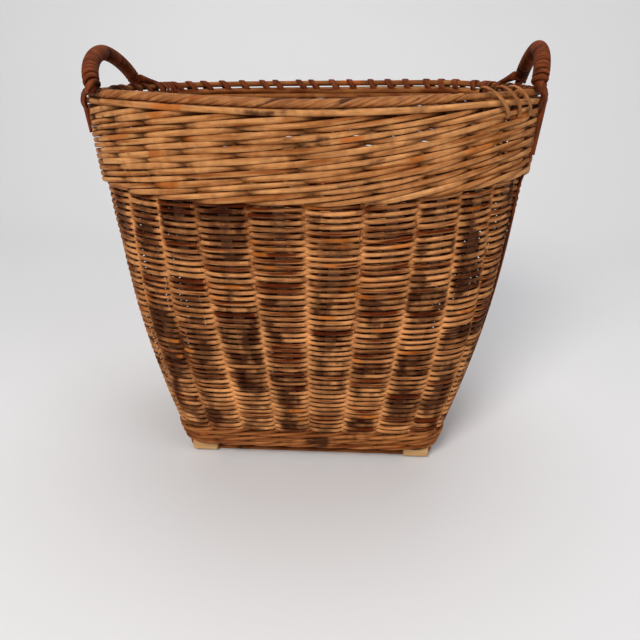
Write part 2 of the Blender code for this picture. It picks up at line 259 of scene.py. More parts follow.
def plug(tree, value, socket):
    if isinstance(value, Wire):
        tree.links.new(value.socket, socket)
    else:
        socket.default_value = value


class Finish:
    """A material's node tree, with one method that adds any node."""

    def __init__(self, name):
        self.material = bpy.data.materials.new(name)
        self.material.use_nodes = True
        self.tree = self.material.node_tree
        self.shader = self.tree.nodes["Principled BSDF"]

    def add(self, kind, settings=None, output=0, **values):
        node = self.tree.nodes.new(kind)
        for key, value in (settings or {}).items():
            setattr(node, key, value)
        for key, value in values.items():
            plug(self.tree, value, node.inputs[key.replace("_", " ")])
        return Wire(self.tree, node.outputs[output])

    def parts(self, vector):
        node = self.tree.nodes.new("ShaderNodeSeparateXYZ")
        self.tree.links.new(vector.socket, node.inputs[0])
        return [Wire(self.tree, node.outputs[index]) for index in range(3)]

    def vector(self, x, y, z):
        return self.add("ShaderNodeCombineXYZ", X=x, Y=y, Z=z)

    def noise(self, where, scale, detail):
        return self.add("ShaderNodeTexNoise", Vector=where, Scale=scale, Detail=detail)

    def stretched_noise(self, sources, scales, detail):
        """Noise with a scale of its own in each of three directions."""
        stretched = [source * scale for source, scale in zip(sources, scales)]
        return self.noise(self.vector(*stretched), 1.0, detail)

    def attribute(self, name):
        return self.add("ShaderNodeAttribute", {"attribute_name": name}, output=ATTRIBUTE_VALUE)

    def blend(self, share, first, second):
        node = self.tree.nodes.new("ShaderNodeMix")
        node.data_type = "RGBA"
        plug(self.tree, share, node.inputs[MIX_SHARE])
        plug(self.tree, first if isinstance(first, Wire) else (*first, 1.0), node.inputs[MIX_FIRST])
        plug(self.tree, second if isinstance(second, Wire) else (*second, 1.0), node.inputs[MIX_SECOND])
        return Wire(self.tree, node.outputs[MIX_RESULT])

    def surface(self, colour, roughness, height, bump_strength, bump_distance):
        plug(self.tree, colour, self.shader.inputs["Base Color"])
        plug(self.tree, roughness, self.shader.inputs["Roughness"])
        bump = self.tree.nodes.new("ShaderNodeBump")
        bump.inputs["Strength"].default_value = bump_strength
        bump.inputs["Distance"].default_value = bump_distance
        plug(self.tree, height, bump.inputs["Height"])
        self.tree.links.new(bump.outputs["Normal"], self.shader.inputs["Normal"])


# How finely each pattern of split cane repeats: along the strand, round it and from strand to strand
FIBRE_SCALES = (90.0, 22.0, 91.0)
STREAK_SCALES = (30.0, 3.0, 37.0)
JOINT_ALONG_SCALE, JOINT_TONE_SCALE = 24.0, 61.0
STAIN_SCALES = (42.0, 42.0, 21.0)
MOTTLE_SCALE = 170.0

# How strongly each pattern shows
TONE_BY_SEED, TONE_BY_STREAK, TONE_BY_FIBRE = 0.45, 1.7, 0.8
STAIN_BY_SEED, STAIN_BY_STREAK, STAIN_SHARPNESS, STAIN_MOST = 0.2, 3.5, 9.0, 0.9
MARK_SHARPNESS, MARK_MOST = 25.0, 0.8
# The painted shade on strands' top and bottom edges and deep parts, and the paler seams
SIDE_SHADE_END = 0.97
SIDE_SHADE_BY_MOTTLE, PALE_BY_FIBRE, SHADE_BY_MOTTLE = 0.5, 0.4, 0.6
ROUGHNESS_BY_FIBRE = 0.35
RELIEF_BY_FIBRE, RELIEF_BY_MOTTLE, RELIEF_STRENGTH, RELIEF_DEPTH = 0.7, 0.3, 0.5, 0.0004


# The stain colour paints both the cane's stained patches and its painted shade.
def cane_finish(name, pale, deep, stain_and_shade_colour, stain_level, mark, mark_level, gloss, change, side_shade_start, shine):
    """Split cane: long fibres, a tone for each length, stained patches, joint marks, and painted shade on its
    edges and deep parts.
    """
    finish = Finish(name)
    uv = finish.tree.nodes.new("ShaderNodeUVMap")
    uv.uv_map = "strand_map"
    length, round_way, _ = finish.parts(Wire(finish.tree, uv.outputs["UV"]))
    seed = finish.attribute("tone")
    painted_shade_and_stain = finish.attribute("painted_shade_and_stain")
    place = finish.add("ShaderNodeTexCoord", output=OBJECT_PLACE)

    fibre = finish.stretched_noise((length, round_way, seed), FIBRE_SCALES, 4.0)
    streak = finish.stretched_noise((length, round_way, seed), STREAK_SCALES, 2.0)
    patch = finish.stretched_noise(finish.parts(place), STAIN_SCALES, 4.0)
    mottle = finish.noise(place, MOTTLE_SCALE, 2.0)
    joint = finish.noise(finish.vector(length * JOINT_ALONG_SCALE, seed * JOINT_TONE_SCALE, 0.5), 1.0, 1.0)

    tone = ((seed - 0.5) * TONE_BY_SEED * change + (streak - 0.5) * TONE_BY_STREAK * change
            + (fibre - 0.5) * TONE_BY_FIBRE + 0.5).clamped()
    colour = finish.blend(tone, deep, pale)
    stained = ((patch - stain_level + (seed - 0.5) * STAIN_BY_SEED) * STAIN_SHARPNESS
               + (streak - 0.5) * STAIN_BY_STREAK).clamped() * STAIN_MOST
    colour = finish.blend(stained, colour, stain_and_shade_colour)
    marked = ((joint - mark_level) * MARK_SHARPNESS).clamped() * MARK_MOST
    colour = finish.blend(marked, colour, mark)
    # Painted shade on the strand's top and bottom edges, where the rows beside it shade it
    edge = (round_way * (2.0 * math.pi)).maths("SINE").maths("ABSOLUTE")
    side = ((edge - side_shade_start) * (1.0 / (SIDE_SHADE_END - side_shade_start))).clamped()
    colour = finish.blend((side + (mottle - 0.5) * SIDE_SHADE_BY_MOTTLE).clamped(), colour, stain_and_shade_colour)
    # Paler seams where the shade and stain value falls below zero
    colour = finish.blend(((0.0 - painted_shade_and_stain) * (fibre + PALE_BY_FIBRE)).clamped(), colour, pale)
    # Painted shade where the strand lies deep behind a stake or under a winding, together with stained
    # patches
    colour = finish.blend((painted_shade_and_stain + (mottle - 0.5) * SHADE_BY_MOTTLE).clamped(), colour, stain_and_shade_colour)
    relief = fibre * RELIEF_BY_FIBRE + mottle * RELIEF_BY_MOTTLE
    finish.surface(colour, gloss + ROUGHNESS_BY_FIBRE * fibre, relief, RELIEF_STRENGTH, RELIEF_DEPTH)
    finish.shader.inputs["Specular IOR Level"].default_value = shine
    return finish.material


PORE_SCALE = 900.0
WEAR_SCALE = 60.0
GRAIN_LEVEL, TONE_BY_GRAIN, TONE_BY_WEAR = 0.3, 1.8, 0.8
ROUGHNESS_BY_PORES = 0.2
RELIEF_BY_GRAIN, RELIEF_BY_PORES, BLOCK_RELIEF_STRENGTH, BLOCK_RELIEF_DEPTH = 0.8, 0.2, 0.4, 0.0003


def block_finish(name, pale, deep, grain_scales, gloss):
    """Plain split wood, its grain along one axis of the object's own space."""
    finish = Finish(name)
    place = finish.add("ShaderNodeTexCoord", output=OBJECT_PLACE)
    grain = finish.stretched_noise(finish.parts(place), grain_scales, 5.0)
    pores = finish.noise(place, PORE_SCALE, 2.0)
    worn = finish.noise(place, WEAR_SCALE, 3.0)
    tone = ((grain - GRAIN_LEVEL) * TONE_BY_GRAIN + (worn - 0.5) * TONE_BY_WEAR).clamped()
    colour = finish.blend(tone, deep, pale)
    relief = grain * RELIEF_BY_GRAIN + pores * RELIEF_BY_PORES
    roughness = gloss + ROUGHNESS_BY_PORES * pores
    finish.surface(colour, roughness, relief, BLOCK_RELIEF_STRENGTH, BLOCK_RELIEF_DEPTH)
    return finish.material


def refinish(finish, *nodes):
    for node in nodes:
        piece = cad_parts[node]
        piece.data.materials.clear()
        piece.data.materials.append(finish)


refinish(block_finish("stake_cane", pale=(0.30, 0.13, 0.045), deep=(0.09, 0.028, 0.010),
                      grain_scales=(260.0, 260.0, 9.0), gloss=0.45),
         *[f"stake_{number:02d}" for number in range(1, STAKES + 1)])


# The fine wall: eighty eight rows of thin dark cane. Each row passes in front of one stake and behind the
# next, and the row above it the other way about, so the rows stand apart over the stakes and meet between.
DICE_SEED = 7
dice = random.Random(DICE_SEED)
WALL_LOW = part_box("body_weave_1")[0].z
ROWS = 88
ROW_SWING = 0.0025
ROW_HALF_THICKNESS = 0.00120
ROW_HALF_HEIGHT = 0.00178
BAND_OVERLAP = 0.004
ROW_SAMPLES = 10
ROW_SHARPNESS = 1.7
ROW_SQUEEZE = 0.12
ROW_WANDER, ROW_WANDER_WAVES = 0.00030, (5, 9, 14, 23, 41)
ROW_DEPTH_WANDER, ROW_DEPTH_WAVES = 0.00018, (11, 17, 29)
ROW_SIZES, ROW_SIZE_CHANGE = (0.92, 1.10), 0.07
ROW_BACK_SHADE = 1.2
ROW_LENGTHS, ROW_LENGTH_SHIFT = 5, 3.7
ROW_TONE_CHANGE = 0.45

# Dark patches some rows high, a speck here and there, and paler seams where rows meet between stakes
PATCH_ROWS, PATCH_POWER, PATCH_SHADE = 4, 3.0, 0.75
SPECK_SHADES = (-0.15, 0.0, 0.3)
SEAM_HALF_WIDTH = 0.17
SEAM_STEP, SEAM_SCATTER, SEAM_DRIFT = 2.3, 4.0, 0.045
SEAM_LEVEL, SEAM_SWAY = 0.35, 0.75
SEAM_SIZES = (0.25, 0.95)

# Sides of a strand that face into the basket keep less of its dark shading
INWARD_COSINE = -0.2
INWARD_SHADE = 0.35


def strand_mesh(name, strands, sides, finish, roundness=1.0):
    """One mesh of many strands. Each has a middle line, two section directions and two half sizes."""
    points, faces, maps, tones, shade_and_stain_values, caps = [], [], [], [], [], []
    start = 0
    turn = np.arange(sides) * 2.0 * np.pi / sides
    cosine = np.sign(np.cos(turn)) * np.abs(np.cos(turn)) ** roundness
    sine = np.sign(np.sin(turn)) * np.abs(np.sin(turn)) ** roundness
    side = np.arange(sides)
    beside = (side + 1) % sides
    facing = np.where(cosine > INWARD_COSINE, 1.0, INWARD_SHADE)
    for strand in strands:
        line, outward, upward = strand["line"], strand["out"], strand["up"]
        count = len(line)
        half_out = np.broadcast_to(strand["half_out"], count)
        half_up = np.broadcast_to(strand["half_up"], count)
        body = (line[:, None, :] + outward[:, None, :] * (half_out[:, None] * cosine)[:, :, None]
                + upward[:, None, :] * (half_up[:, None] * sine)[:, :, None])
        points.append(body.reshape(-1, 3))
        closed = strand.get("closed", False)
        gaps = np.linalg.norm(np.roll(line, -1, 0) - line, axis=1)
        lengths = np.concatenate([[0.0], np.cumsum(gaps)])
        spans = count if closed else count - 1
        first = np.arange(spans)
        second = (first + 1) % count
        faces.append(np.stack([
            start + first[:, None] * sides + side, start + second[:, None] * sides + side,
            start + second[:, None] * sides + beside, start + first[:, None] * sides + beside,
        ], -1).reshape(-1, 4))
        along = np.stack([lengths[first], lengths[first + 1], lengths[first + 1], lengths[first]], -1)
        around = np.stack([side, side, side + 1, side + 1], -1) / sides
        along = np.broadcast_to(along[:, None, :], (spans, sides, 4))
        around = np.broadcast_to(around[None, :, :], (spans, sides, 4))
        maps.append(np.stack([along, around], -1).reshape(-1, 2))
        tones.append(np.repeat(np.broadcast_to(strand["tone"], count), sides))
        # Painted shade and stain for each point, with less painted shade on sides that face into the basket
        shade_and_stain_values.append(np.outer(np.broadcast_to(strand.get("painted_shade_and_stain", 0.0), count), facing).ravel())
        if not closed:
            caps += [list(range(start, start + sides))[::-1],
                     list(range(start + (count - 1) * sides, start + count * sides))]
        start += count * sides
    all_faces = np.concatenate(faces).tolist() + caps
    mesh = bpy.data.meshes.new(name)
    mesh.from_pydata(np.concatenate(points).tolist(), [], all_faces)
    layer = mesh.uv_layers.new(name="strand_map")
    flat = np.zeros((len(mesh.loops), 2), np.float32)
    body_map = np.concatenate(maps)
    flat[:len(body_map)] = body_map
    layer.data.foreach_set("uv", flat.ravel())
    for key, values in (("tone", tones), ("painted_shade_and_stain", shade_and_stain_values)):
        attribute = mesh.attributes.new(key, "FLOAT", "POINT")
        attribute.data.foreach_set("value", np.concatenate(values).astype(np.float32))
    mesh.shade_smooth()
    mesh.materials.append(finish)
    shape = bmesh.new()
    shape.from_mesh(mesh)
    bmesh.ops.recalc_face_normals(shape, faces=shape.faces)
    shape.to_mesh(mesh)
    shape.free()
    piece = bpy.data.objects.new(name, mesh)
    bpy.context.scene.collection.objects.link(piece)
    return piece


def settle(piece, slot, *nodes):
    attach(piece, "root")
    if nodes:
        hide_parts(*nodes)


def each_stake(draw):
    """One draw for each stake, spread over the samples of a row."""
    return np.repeat([draw() for _ in range(STAKES)], ROW_SAMPLES)


weave_finish = cane_finish(
    "brown_weave", pale=(0.80, 0.355, 0.125), deep=(0.125, 0.020, 0.002), stain_and_shade_colour=(0.030, 0.004, 0.001),
    stain_level=0.54, mark=(0.54, 0.15, 0.020), mark_level=0.66, gloss=0.44, change=1.5, side_shade_start=0.36,
    shine=0.05)
places = ring_places(ROW_SAMPLES)
angles = angle_at(places)
wall_high = ring_heights(BAND_LOW, angles) + BAND_OVERLAP
patches = [[dice.random() ** PATCH_POWER for _ in range(STAKES)] for _ in range(ROWS // PATCH_ROWS + 1)]
for parity, row_name, nodes in ((0, "weave_rows_even", ("body_weave_1", "body_weave_3")),
                                (1, "weave_rows_odd", ("body_weave_2",))):
    strands = []
    for row in range(parity, ROWS, 2):
        wave = np.cos(places * np.pi) * (1.0 if parity == 0 else -1.0)
        swing = np.tanh(ROW_SHARPNESS * wave) / math.tanh(ROW_SHARPNESS)
        share = (row + 0.5) / ROWS
        wander = slow_wave(dice, ROW_WANDER, ROW_WANDER_WAVES)(angles)
        point, outward, upward = wall_frame(angles, WALL_LOW + (wall_high - WALL_LOW) * share + wander)
        depth = STAKE_LINE + ROW_SWING * swing + slow_wave(dice, ROW_DEPTH_WANDER, ROW_DEPTH_WAVES)(angles)
        thick = dice.uniform(*ROW_SIZES) + each_stake(lambda: dice.uniform(-ROW_SIZE_CHANGE, ROW_SIZE_CHANGE))
        worn = np.repeat([PATCH_SHADE * patch + dice.choice(SPECK_SHADES) * dice.random()
                          for patch in patches[(row + 1) // PATCH_ROWS]], ROW_SAMPLES)
        length_tones = [dice.random() for _ in range(ROW_LENGTHS)]
        turn_share = (np.floor(places + 0.5) + row * ROW_LENGTH_SHIFT) / STAKES
        tone = np.array([length_tones[int(turned * ROW_LENGTHS) % ROW_LENGTHS] for turned in turn_share])
        bright = each_stake(lambda: dice.uniform(-ROW_TONE_CHANGE, ROW_TONE_CHANGE))
        gap = np.floor(places)
        seam = np.exp(-(((places - gap - 0.5) / SEAM_HALF_WIDTH) ** 2))
        sway = np.sin(gap * SEAM_STEP + SEAM_SCATTER * np.sin(gap) + row * SEAM_DRIFT)
        # Paler seams between stakes, stronger at some seams than others
        paler_seam = np.clip(SEAM_LEVEL + SEAM_SWAY * sway, 0.0, 1.0) * seam
        paler_seam = paler_seam * each_stake(lambda: dice.uniform(*SEAM_SIZES))
        strands.append({
            "line": point + outward * depth[:, None], "out": outward, "up": upward, "closed": True,
            "half_out": ROW_HALF_THICKNESS * thick,
            "half_up": ROW_HALF_HEIGHT * thick * (1.0 - ROW_SQUEEZE * swing),
            "tone": np.clip(tone + bright, 0.0, 1.0),
            # Painted shade where the row passes behind a stake, plus stained patches, specks and paler seams
            "painted_shade_and_stain": np.clip(-swing * ROW_BACK_SHADE, 0.0, 1.0) + worn * np.abs(swing) - paler_seam,
        })
    settle(strand_mesh(row_name, strands, 8, weave_finish), "brown_weave", *nodes)


# The waling and border: three courses of thicker cane where the wall turns up from the floor. A course is
# three canes. Each in turn passes in front of two stakes, rising over the one before, and behind the third.
WALING_COURSES = 3
WALING_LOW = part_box("base_border")[0].z
WALING_OVERLAP = 0.0006
WALE_STRANDS = 3
WALE_HALF_REACH = 1.5
WALE_WAVES, WALE_FINE_WAVES, WALE_DEPTH_WAVES = (2, 5, 9), (17, 29, 43, 61), (7, 11, 19)
WALE_DEPTH_SHARE = 0.7
WALE_SHIFT = 0.15
WALE_DIVE_POWER = 2.1
WALE_LEVEL_POWER = 6
WALE_TAPER_SHARE, WALE_TAPER_POWER = 0.6, 4
WALE_WIDTHS = (0.84, 1.12)
WALE_TONE_POWER = 1.2


def wale(strands, courses, low, high, front, drop, half_thickness, fill, per_stake, wobble, shade):
    """Adds three-strand courses between two heights, which may vary round the basket."""
    places = ring_places(per_stake, WALE_STRANDS)
    angle = angle_at(places)
    turns = places / STAKES / WALE_STRANDS * 2.0 * np.pi
    bottom, top = low(angle), high(angle)
    for course in range(courses):
        pitch = (top - bottom) / courses
        wander = slow_wave(dice, wobble, WALE_WAVES)(angle)
        wander = wander + slow_wave(dice, wobble, WALE_FINE_WAVES)(turns)
        shift = course * 2 + dice.uniform(-WALE_SHIFT, WALE_SHIFT)
        rise = np.mod(places + shift, WALE_STRANDS) - WALE_HALF_REACH
        reach = np.abs(rise) / WALE_HALF_REACH
        inside = np.sin(0.5 * np.pi * reach ** WALE_DIVE_POWER) ** 2
        level = 0.5 * pitch * rise * (1.0 - reach ** WALE_LEVEL_POWER)
        point, outward, upward = wall_frame(angle, bottom + pitch * (course + 0.5) + level + wander)
        depth = front - drop * inside + slow_wave(dice, wobble * WALE_DEPTH_SHARE, WALE_DEPTH_WAVES)(angle)
        pieces = np.floor((places + shift) / WALE_STRANDS).astype(int) % STAKES
        tones = [dice.random() ** WALE_TONE_POWER for _ in range(STAKES)]
        widths = [dice.uniform(*WALE_WIDTHS) for _ in range(STAKES)]
        taper = 1.0 - WALE_TAPER_SHARE * reach ** WALE_TAPER_POWER
        strands.append({
            "line": point + outward * depth[:, None], "out": outward, "up": upward, "closed": True,
            "half_out": half_thickness, "half_up": fill * pitch * np.take(widths, pieces) * taper,
            # Painted shade where the cane dives behind a stake
            "tone": np.take(tones, pieces), "painted_shade_and_stain": inside * shade,
        })


waling_finish = cane_finish(
    "rim_brown", pale=(0.44, 0.165, 0.046), deep=(0.14, 0.030, 0.005), stain_and_shade_colour=(0.025, 0.004, 0.001),
    stain_level=0.57, mark=(0.42, 0.10, 0.012), mark_level=0.68, gloss=0.40, change=1.4, side_shade_start=0.55,
    shine=0.08)
strands = []
wale(strands, WALING_COURSES, low=lambda angle: WALING_LOW + 0.0 * angle,
     high=lambda angle: WALL_LOW + WALING_OVERLAP + 0.0 * angle, front=-0.0006, drop=0.0068,
     half_thickness=0.0014, fill=0.285, per_stake=8, wobble=0.00025, shade=0.8)
settle(strand_mesh("waling_rows", strands, 8, waling_finish), "rim_brown",
       "base_border", "upset_course_1", "upset_course_2")


# The floor panel: flat split canes woven over one and under one, and cut to the base's outline. The waling
# holds their ends, and the stakes stand on their edge.
PANEL_LOW, PANEL_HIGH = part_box("base_panel")[0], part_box("base_panel")[1]
PANEL_STRIP = 0.0085
PANEL_GAP = 0.0012
PANEL_HALF_THICKNESS = 0.0009
PANEL_EDGE = 0.0002
PANEL_LEAST_SHARE = 0.05
PANEL_SAMPLES = 4.0
PANEL_SWING_SHARE = 1.05
PANEL_SHARPNESS = 1.6


def straight_up(count):
    return np.tile((0.0, 0.0, 1.0), (count, 1))


strands = []
middle = (PANEL_LOW.z + PANEL_HIGH.z) / 2.0
pitch = PANEL_STRIP + PANEL_GAP
limits = (PANEL_HIGH.x - PANEL_EDGE, PANEL_HIGH.y - PANEL_EDGE)
power = squareness(PANEL_LOW.z / RIM)
for way in (0, 1):
    count = int((2.0 * limits[1 - way] - PANEL_STRIP) / pitch)
    for index in range(count + 1):
        aside = (index - count / 2.0) * pitch
        inset = max(1.0 - abs(aside / limits[1 - way]) ** power, PANEL_LEAST_SHARE)
        reach = limits[way] * inset ** (1.0 / power)
        steps = int(2.0 * reach / pitch * PANEL_SAMPLES)
        run = np.linspace(-reach, reach, steps + 1)
        over = np.cos(np.pi * run / pitch) * (1.0 if (index + way) % 2 else -1.0)
        line = np.zeros((steps + 1, 3))
        line[:, way], line[:, 1 - way] = run, aside
        line[:, 2] = middle + PANEL_HALF_THICKNESS * PANEL_SWING_SHARE * np.tanh(PANEL_SHARPNESS * over)
        flat_way = np.zeros((steps + 1, 3))
        flat_way[:, 1 - way] = 1.0
        strands.append({
            "line": line, "out": straight_up(steps + 1), "up": flat_way,
            "half_out": PANEL_HALF_THICKNESS, "half_up": PANEL_STRIP / 2.0, "tone": dice.random(),
        })
settle(strand_mesh("floor_strips", strands, 8, weave_finish, 0.5), "brown_weave", "base_panel")


# The band: seven courses of golden split rods, worked like the waling at the base but in rather thicker
# rods. Two rods of each course lie side by side over every stake, and a third passes behind it.
COURSES = 7
HOOP_DROP = 0.0112

rod_finish = cane_finish(
    "golden_rod", pale=(0.72, 0.345, 0.125), deep=(0.28, 0.080, 0.014), stain_and_shade_colour=(0.035, 0.004, 0.001),
    stain_level=0.67, mark=(0.46, 0.125, 0.018), mark_level=0.67, gloss=0.44, change=1.15, side_shade_start=0.42,
    shine=0.08)
strands = []
wale(strands, COURSES, low=lambda angle: ring_heights(BAND_LOW, angle),
     high=lambda angle: ring_heights(RIM_TOP, angle) - HOOP_DROP, front=0.0013, drop=0.0096,
     half_thickness=0.0014, fill=0.236, per_stake=10, wobble=0.00034, shade=1.0)
settle(strand_mesh("band_rods", strands, 10, rod_finish, 0.6), "golden_rod",
       *[f"band_course_{number}" for number in range(1, COURSES + 1)])


# The rim hoops: a flat split rod outside the stakes' tips, and two browner ones inside them. The tips stand
# between, and the rim's ties hold it all together.
HOOP_SAMPLES = 6
HOOP_WANDER = 0.0004
# Each hoop's offset from the wall, depth under the rim's top, half thickness and half height
OUTER_HOOPS = ((0.0004, 0.0082, 0.0021, 0.0020),)
INNER_HOOPS = ((-0.0086, 0.0098, 0.0022, 0.0026), (-0.0080, 0.0150, 0.0018, 0.0026))

angles = angle_at(ring_places(HOOP_SAMPLES))
for side_name, finish, hoops in (("outer", rod_finish, OUTER_HOOPS), ("inner", waling_finish, INNER_HOOPS)):
    strands = []
    for offset, dip, half_thickness, half_height in hoops:
        height = ring_heights(RIM_TOP, angles) - dip + slow_wave(dice, HOOP_WANDER)(angles)
        point, outward, upward = wall_frame(angles, height)
        strands.append({
            "line": point + outward * offset, "out": outward, "up": upward, "closed": True,
            "half_out": half_thickness, "half_up": half_height, "tone": dice.random(),
        })
    settle(strand_mesh(f"rim_hoop_cane_{side_name}", strands, 10, finish, 0.8), "golden_rod",
           f"rim_hoop_{side_name}")


# The rim's front: a thin rod wound closely with six split canes, which lies on the hoops and the stakes' tips
# and ends in a point at the right.
ROPE_LINE = -0.0030
ROPE_CORE = 0.0020
ROPE_STRAND_HALF_WIDTH = 0.0016
ROPE_STRAND_HALF_THICKNESS = 0.0012
ROPE_STRANDS = 6
ROPE_TURN_LENGTH = 0.0460
ROPE_START, ROPE_END = -163.0, -56.0
ROPE_DIP = 0.0030
ROPE_POINTS = 460
ROPE_TAPER_POINTS = 22.0
ROPE_TIP_SHARE, ROPE_CORE_TIP_SHARE = 0.05, 0.6
ROPE_CORE_DIP = 0.0034
ROPE_CORE_POINTS = 120
ROPE_CORE_BARE_DEG = 2.0
ROD_END = -40.0

rope_finish = cane_finish(
    "rope_cane", pale=(0.70, 0.310, 0.105), deep=(0.28, 0.085, 0.020), stain_and_shade_colour=(0.040, 0.006, 0.002),
    stain_level=0.64, mark=(0.40, 0.10, 0.015), mark_level=0.70, gloss=0.40, change=1.0, side_shade_start=0.25,
    shine=0.12)


def rim_line(angle, dip):
    """A line along the rim, with the directions across it."""
    height = ring_heights(RIM_TOP, angle) - dip
    point, outward, _ = wall_frame(angle, np.full_like(angle, RIM))
    line = point + outward * ROPE_LINE
    line[:, 2] = height
    outward[:, 2] = 0.0
    return line, unit(outward), straight_up(len(angle))


def wound_strands(line, outward, upward, radius, half_width, half_thickness, count, turn_length):
    """Flat canes wound round a line, side by side."""
    lengths = running_length(line)
    found = []
    for number in range(count):
        turn = 2.0 * np.pi * (lengths / turn_length + number / count)
        radial = outward * np.cos(turn)[:, None] + upward * np.sin(turn)[:, None]
        body = line + radial * np.broadcast_to(radius, len(line))[:, None]
        run = unit(np.gradient(body, axis=0))
        found.append({
            "line": body, "out": radial, "up": unit(np.cross(run, radial)),
            "half_out": half_thickness, "half_up": half_width, "tone": dice.random(),
        })
    return found


angles = np.radians(np.linspace(ROPE_START, ROPE_END, ROPE_POINTS))
line, outward, upward = rim_line(angles, ROPE_DIP)
ends = np.minimum(np.arange(ROPE_POINTS), np.arange(ROPE_POINTS)[::-1])
thin = np.clip(ends / ROPE_TAPER_POINTS, ROPE_TIP_SHARE, 1.0)
strands = wound_strands(
    line, outward, upward, radius=ROPE_CORE * np.clip(thin, ROPE_CORE_TIP_SHARE, 1.0),
    half_width=ROPE_STRAND_HALF_WIDTH * thin, half_thickness=ROPE_STRAND_HALF_THICKNESS, count=ROPE_STRANDS,
    turn_length=ROPE_TURN_LENGTH)
angles = np.radians(np.linspace(ROPE_START, ROD_END, ROPE_CORE_POINTS))
line, outward, upward = rim_line(angles, ROPE_CORE_DIP)
# The core has painted shade where the winding covers it, and little where it runs bare
strands.append({"line": line, "out": outward, "up": upward, "half_out": ROPE_CORE, "half_up": ROPE_CORE,
                "tone": 0.6, "painted_shade_and_stain": np.where(np.degrees(angles) < ROPE_END - ROPE_CORE_BARE_DEG, 0.8, 0.1)})
settle(strand_mesh("rim_rope_strands", strands, 8, rope_finish, 0.9), "rope_cane", "rim_rope")


# The rim's back and sides: a bare round rod, tied down to the inner hoop with dark flat cane in slanting
# turns, some two to each stake.
ROD_RADIUS = 0.0026
ROD_POINTS = 190
ROD_END_GAP_DEG = 0.5
TIES = 31
TIE_CLEAR_DEG = 22.0
TIE_LEAN, TIE_LEANS = 0.031, (0.7, 1.2)
TIE_PLACES = (0.3, 0.7)
TIE_POINTS = 24
TIE_HALF_WIDTH = 0.0029
FLAT_CANE_HALF_THICKNESS = 0.0006

angles = np.radians(np.linspace(ROD_END + ROD_END_GAP_DEG, 360.0 + ROPE_START - ROD_END_GAP_DEG, ROD_POINTS))
line, outward, upward = rim_line(angles, ROD_RADIUS)
strands = [{"line": line, "out": outward, "up": upward, "half_out": ROD_RADIUS, "half_up": ROD_RADIUS,
            "tone": 0.45}]
settle(strand_mesh("rim_back_rod", strands, 12, waling_finish), "rim_brown", "rim_rod")

dark_finish = cane_finish(
    "dark_cane", pale=(0.40, 0.100, 0.030), deep=(0.110, 0.018, 0.004), stain_and_shade_colour=(0.010, 0.002, 0.001),
    stain_level=0.58, mark=(0.34, 0.08, 0.02), mark_level=0.74, gloss=0.42, change=1.0, side_shade_start=0.20,
    shine=0.06)


def flat_frame(angle):
    """The rim's plan at an angle: a point on the wall's outline and the level direction outward."""
    point, outward, _ = wall_frame(angle, np.full_like(angle, RIM))
    outward[:, 2] = 0.0
    return point, unit(outward)


def rim_loop(middle, lean, points, setback, across, tall, dip, half_width):
    """One closed turn of flat cane round the rim, which leans along it."""
    turn = np.linspace(0.0, 2.0 * np.pi, points + 1)[:-1]
    along = middle + lean * np.cos(turn)
    point, outward = flat_frame(along)
    upward = straight_up(points)
    centre = point - outward * setback
    centre[:, 2] = ring_heights(RIM_TOP, along) - dip
    radial = unit(outward * np.sin(turn)[:, None] + upward * np.cos(turn)[:, None])
    line = centre + outward * (across * np.sin(turn))[:, None] + upward * (tall * np.cos(turn))[:, None]
    run = unit(np.roll(line, -1, 0) - np.roll(line, 1, 0))
    return {
        "line": line, "out": radial, "up": unit(np.cross(run, radial)), "closed": True,
        "half_out": FLAT_CANE_HALF_THICKNESS, "half_up": half_width, "tone": dice.random(),
    }


strands = []
tied_deg = 360.0 + ROPE_START - ROD_END - 2.0 * TIE_CLEAR_DEG
for number in range(TIES):
    middle = math.radians(ROD_END + TIE_CLEAR_DEG + tied_deg * (number + dice.uniform(*TIE_PLACES)) / TIES)
    strands.append(rim_loop(middle, TIE_LEAN * dice.uniform(*TIE_LEANS), TIE_POINTS, setback=0.0040,
                            across=0.0062, tall=0.0070, dip=0.0062, half_width=TIE_HALF_WIDTH))
settle(strand_mesh("rim_ties", strands, 6, dark_finish, 0.6), "dark_cane")


# The handles: each is a thick bent cane that stands over the rim. Flat dark cane is wound round it in thirty
# six close turns, and its thinned legs run down outside the band.
HANDLE_RADIUS = 0.0036
HANDLE_LINE = 0.0026
ARCH_POWER = 1.15
ARCH_POINTS = 700
CORE_STEP = 20
WRAP_TURNS = 36
WRAP_POINTS = 22
WRAP_HALF_THICKNESS = 0.0012
WRAP_SEAT_SHARE = 0.9
WRAP_WIDTH_SHARE = 0.46
LEG_LINE = 0.0045
LEG_POINTS = 8
LEG_DIP = 0.004
LEG_SHIFT = 0.0065
LEG_TIP_RADIUS = 0.0010
LEG_BEND_SHARES = (0.25, 0.5, 0.75)
LEG_BEND_LIFT = 0.0016
TAIL_POINTS = 9
TAIL_RADII = (0.0038, 0.0016)
TAIL_LIFT, TAIL_END_DIP = 0.004, 0.0005

# Rise is the arch's height over its feet, foot their height over the rim and bow the arch's lean outward.
# Span, legs and tail_end are angles in degrees, the back one first.
HANDLES = (
    dict(name="left", side=-1, rise=0.0243, foot=0.0009, bow=0.0093, span=(155.8, 218.3),
         legs=(157.0, 211.5), leg_radius=0.0020, leg_length=0.026, tail_end=147.0),
    dict(name="right", side=1, rise=0.0245, foot=0.0032, bow=0.0041, span=(15.0, -32.0),
         legs=(18.0, -28.0), leg_radius=0.0027, leg_length=0.042, tail_end=25.0))


